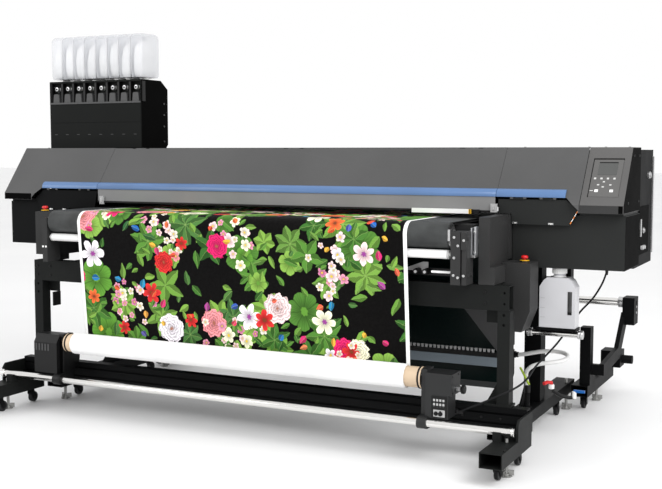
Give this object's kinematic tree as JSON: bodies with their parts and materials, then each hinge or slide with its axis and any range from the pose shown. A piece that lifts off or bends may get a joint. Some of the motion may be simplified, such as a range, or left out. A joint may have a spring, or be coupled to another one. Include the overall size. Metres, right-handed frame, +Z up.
{
  "type": "textile inkjet printer",
  "caption": "Wide-format belt-fed textile printer on a castored stand, with ink cabinet, washing unit, waste tank and powered take-up roll.",
  "frame": {"origin": "centre of the footprint on the floor", "axes": "+X along the machine to the operator's right, +Y from the operator's side to the back, +Z up"},
  "size_m": [3.2, 1.965, 1.857],
  "materials": {
    "dark_steel": "satin powder coat",
    "cover_grey": "fine textured paint",
    "dark_plastic": "matte moulded",
    "rubber": "matte",
    "chrome": "polished",
    "steel": "brushed",
    "aluminium": "anodised",
    "white_plastic": "translucent",
    "accent_blue": "satin",
    "smoked": "smoked",
    "fabric": "printed woven cloth",
    "cloth_white": "woven cloth, unprinted side",
    "core_card": "wound card",
    "red_plastic": "gloss",
    "cable": "matte",
    "belt": "slightly tacky",
    "green_panel": "smoked green"
  },
  "bodies": {
    "machine": {"main_stand": "dark_steel", "belt_stand": "dark_steel", "takeup_stand": "dark_steel", "takeup_beam": "dark_steel", "takeup_rail": "chrome", "feed_stand": "dark_steel", "levelling_feet": "steel", "rear_casing": "dark_steel", "left_end_cover": "cover_grey", "right_end_cover": "cover_grey", "control_panel": "cover_grey", "left_lower_casing": "dark_steel", "right_lower_casing": "dark_steel", "carriage_beam": "aluminium", "ink_cabinet": "cover_grey", "ink_packs": "white_plastic", "belt_frame": "dark_plastic", "conveyor_belt": "belt", "wash_unit": "green_panel", "power_box": "dark_steel", "waste_tank": "white_plastic", "drain_hose": "white_plastic", "takeup_unit_right": "dark_plastic", "takeup_cable": "cable", "printed_fabric": "fabric", "capping_station": "dark_plastic"},
    "front_cover": {"front_cover": "cover_grey", "front_window": "smoked", "front_accent_strip": "accent_blue"},
    "left_maintenance_cover": {"left_maintenance_cover": "dark_plastic"},
    "right_maintenance_cover": {"right_maintenance_cover": "dark_plastic"},
    "print_carriage": {"print_carriage": "dark_plastic"},
    "drive_roller": {"drive_roller": "steel"},
    "rear_roller": {"rear_roller": "steel"},
    "guide_roller": {"guide_roller": "white_plastic"},
    "takeup_spindle": {"takeup_core": "core_card", "takeup_roll": "cloth_white"},
    "takeup_unit_left": {"takeup_unit_left": "dark_plastic"},
    "feed_shaft": {"feed_shaft": "chrome"},
    "estop_left": {"estop_left": "red_plastic"},
    "estop_right": {"estop_right": "red_plastic"},
    "winding_switch": {"winding_switch": "dark_plastic"},
    "caster_fork_1": {"caster_fork_1": "dark_steel"},
    "caster_wheel_1": {"caster_wheel_1": "rubber"},
    "caster_fork_2": {"caster_fork_2": "dark_steel"},
    "caster_wheel_2": {"caster_wheel_2": "rubber"},
    "caster_fork_3": {"caster_fork_3": "dark_steel"},
    "caster_wheel_3": {"caster_wheel_3": "rubber"},
    "caster_fork_4": {"caster_fork_4": "dark_steel"},
    "caster_wheel_4": {"caster_wheel_4": "rubber"},
    "caster_fork_5": {"caster_fork_5": "dark_steel"},
    "caster_wheel_5": {"caster_wheel_5": "rubber"},
    "caster_fork_6": {"caster_fork_6": "dark_steel"},
    "caster_wheel_6": {"caster_wheel_6": "rubber"},
    "caster_fork_7": {"caster_fork_7": "dark_steel"},
    "caster_wheel_7": {"caster_wheel_7": "rubber"},
    "caster_fork_8": {"caster_fork_8": "dark_steel"},
    "caster_wheel_8": {"caster_wheel_8": "rubber"},
    "feed_wheel_left": {"feed_wheel_left": "rubber"},
    "feed_wheel_right": {"feed_wheel_right": "rubber"}
  },
  "joints": [
    {"name": "front_cover_hinge", "type": "hinge", "parent": "machine", "child": "front_cover", "pos_m": [0.03, -0.2385, 1.261], "axis": [-1, 0, 0], "range_deg": [0, 65]},
    {"name": "left_maintenance_hinge", "type": "hinge", "parent": "machine", "child": "left_maintenance_cover", "pos_m": [-1.2, -0.3925, 1.054], "axis": [-1, 0, 0], "range_deg": [0, 45]},
    {"name": "right_maintenance_hinge", "type": "hinge", "parent": "machine", "child": "right_maintenance_cover", "pos_m": [1.23, -0.3925, 1.054], "axis": [-1, 0, 0], "range_deg": [0, 45]},
    {"name": "carriage_slide", "type": "slide", "parent": "machine", "child": "print_carriage", "axis": [1, 0, 0], "range_m": [-2.4, 0]},
    {"name": "drive_roller_spin", "type": "hinge", "parent": "machine", "child": "drive_roller", "pos_m": [0, -0.6925, 0.914], "axis": [1, 0, 0], "continuous": true},
    {"name": "rear_roller_spin", "type": "hinge", "parent": "machine", "child": "rear_roller", "pos_m": [0, 0.1775, 0.914], "axis": [1, 0, 0], "continuous": true},
    {"name": "guide_roller_spin", "type": "hinge", "parent": "machine", "child": "guide_roller", "pos_m": [0, -0.7125, 0.84], "axis": [1, 0, 0], "continuous": true},
    {"name": "takeup_spin", "type": "hinge", "parent": "machine", "child": "takeup_spindle", "pos_m": [0, -0.7475, 0.343], "axis": [1, 0, 0], "continuous": true},
    {"name": "takeup_unit_slide", "type": "slide", "parent": "machine", "child": "takeup_unit_left", "axis": [-1, 0, 0], "range_m": [0, 0.1]},
    {"name": "feed_shaft_spin", "type": "hinge", "parent": "machine", "child": "feed_shaft", "pos_m": [0, 0.9075, 0.47], "axis": [1, 0, 0], "continuous": true},
    {"name": "estop_left_press", "type": "slide", "parent": "machine", "child": "estop_left", "axis": [0, 0, 1], "range_m": [-0.005, 0], "stiffness_N_per_m": 2000, "springref_m": 0.0015},
    {"name": "estop_right_press", "type": "slide", "parent": "machine", "child": "estop_right", "axis": [0, 0, 1], "range_m": [-0.005, 0], "stiffness_N_per_m": 2000, "springref_m": 0.0015},
    {"name": "winding_switch_turn", "type": "hinge", "parent": "machine", "child": "winding_switch", "pos_m": [0.985, -0.8015, 0.216], "axis": [0, 1, 0], "range_deg": [-35, 35]},
    {"name": "caster_swivel_1", "type": "hinge", "parent": "machine", "child": "caster_fork_1", "pos_m": [-1.24, -0.8705, 0.06], "axis": [0, 0, 1], "continuous": true},
    {"name": "caster_roll_1", "type": "hinge", "parent": "caster_fork_1", "child": "caster_wheel_1", "pos_m": [-1.24, -0.8565, 0.0265], "axis": [1, 0, 0], "continuous": true},
    {"name": "caster_swivel_2", "type": "hinge", "parent": "machine", "child": "caster_fork_2", "pos_m": [1.24, -0.8705, 0.06], "axis": [0, 0, 1], "continuous": true},
    {"name": "caster_roll_2", "type": "hinge", "parent": "caster_fork_2", "child": "caster_wheel_2", "pos_m": [1.24, -0.8565, 0.0265], "axis": [1, 0, 0], "continuous": true},
    {"name": "caster_swivel_3", "type": "hinge", "parent": "machine", "child": "caster_fork_3", "pos_m": [-1.25, -0.6425, 0.06], "axis": [0, 0, 1], "continuous": true},
    {"name": "caster_roll_3", "type": "hinge", "parent": "caster_fork_3", "child": "caster_wheel_3", "pos_m": [-1.25, -0.6285, 0.0265], "axis": [1, 0, 0], "continuous": true},
    {"name": "caster_swivel_4", "type": "hinge", "parent": "machine", "child": "caster_fork_4", "pos_m": [1.25, -0.6425, 0.06], "axis": [0, 0, 1], "continuous": true},
    {"name": "caster_roll_4", "type": "hinge", "parent": "caster_fork_4", "child": "caster_wheel_4", "pos_m": [1.25, -0.6285, 0.0265], "axis": [1, 0, 0], "continuous": true},
    {"name": "caster_swivel_5", "type": "hinge", "parent": "machine", "child": "caster_fork_5", "pos_m": [-1.15, -0.4125, 0.06], "axis": [0, 0, 1], "continuous": true},
    {"name": "caster_roll_5", "type": "hinge", "parent": "caster_fork_5", "child": "caster_wheel_5", "pos_m": [-1.15, -0.3985, 0.0265], "axis": [1, 0, 0], "continuous": true},
    {"name": "caster_swivel_6", "type": "hinge", "parent": "machine", "child": "caster_fork_6", "pos_m": [1.15, -0.4125, 0.06], "axis": [0, 0, 1], "continuous": true},
    {"name": "caster_roll_6", "type": "hinge", "parent": "caster_fork_6", "child": "caster_wheel_6", "pos_m": [1.15, -0.3985, 0.0265], "axis": [1, 0, 0], "continuous": true},
    {"name": "caster_swivel_7", "type": "hinge", "parent": "machine", "child": "caster_fork_7", "pos_m": [-1.172, 0.2445, 0.06], "axis": [0, 0, 1], "continuous": true},
    {"name": "caster_roll_7", "type": "hinge", "parent": "caster_fork_7", "child": "caster_wheel_7", "pos_m": [-1.172, 0.2585, 0.0265], "axis": [1, 0, 0], "continuous": true},
    {"name": "caster_swivel_8", "type": "hinge", "parent": "machine", "child": "caster_fork_8", "pos_m": [1.172, 0.2445, 0.06], "axis": [0, 0, 1], "continuous": true},
    {"name": "caster_roll_8", "type": "hinge", "parent": "caster_fork_8", "child": "caster_wheel_8", "pos_m": [1.172, 0.2585, 0.0265], "axis": [1, 0, 0], "continuous": true},
    {"name": "feed_wheel_left_roll", "type": "hinge", "parent": "machine", "child": "feed_wheel_left", "pos_m": [-1.255, 0.4575, 0.0265], "axis": [1, 0, 0], "continuous": true},
    {"name": "feed_wheel_right_roll", "type": "hinge", "parent": "machine", "child": "feed_wheel_right", "pos_m": [1.255, 0.4575, 0.0265], "axis": [1, 0, 0], "continuous": true}
  ],
  "couplings": [
    {"joint": "rear_roller_spin", "follows": "drive_roller_spin", "ratio": 1}
  ]
}
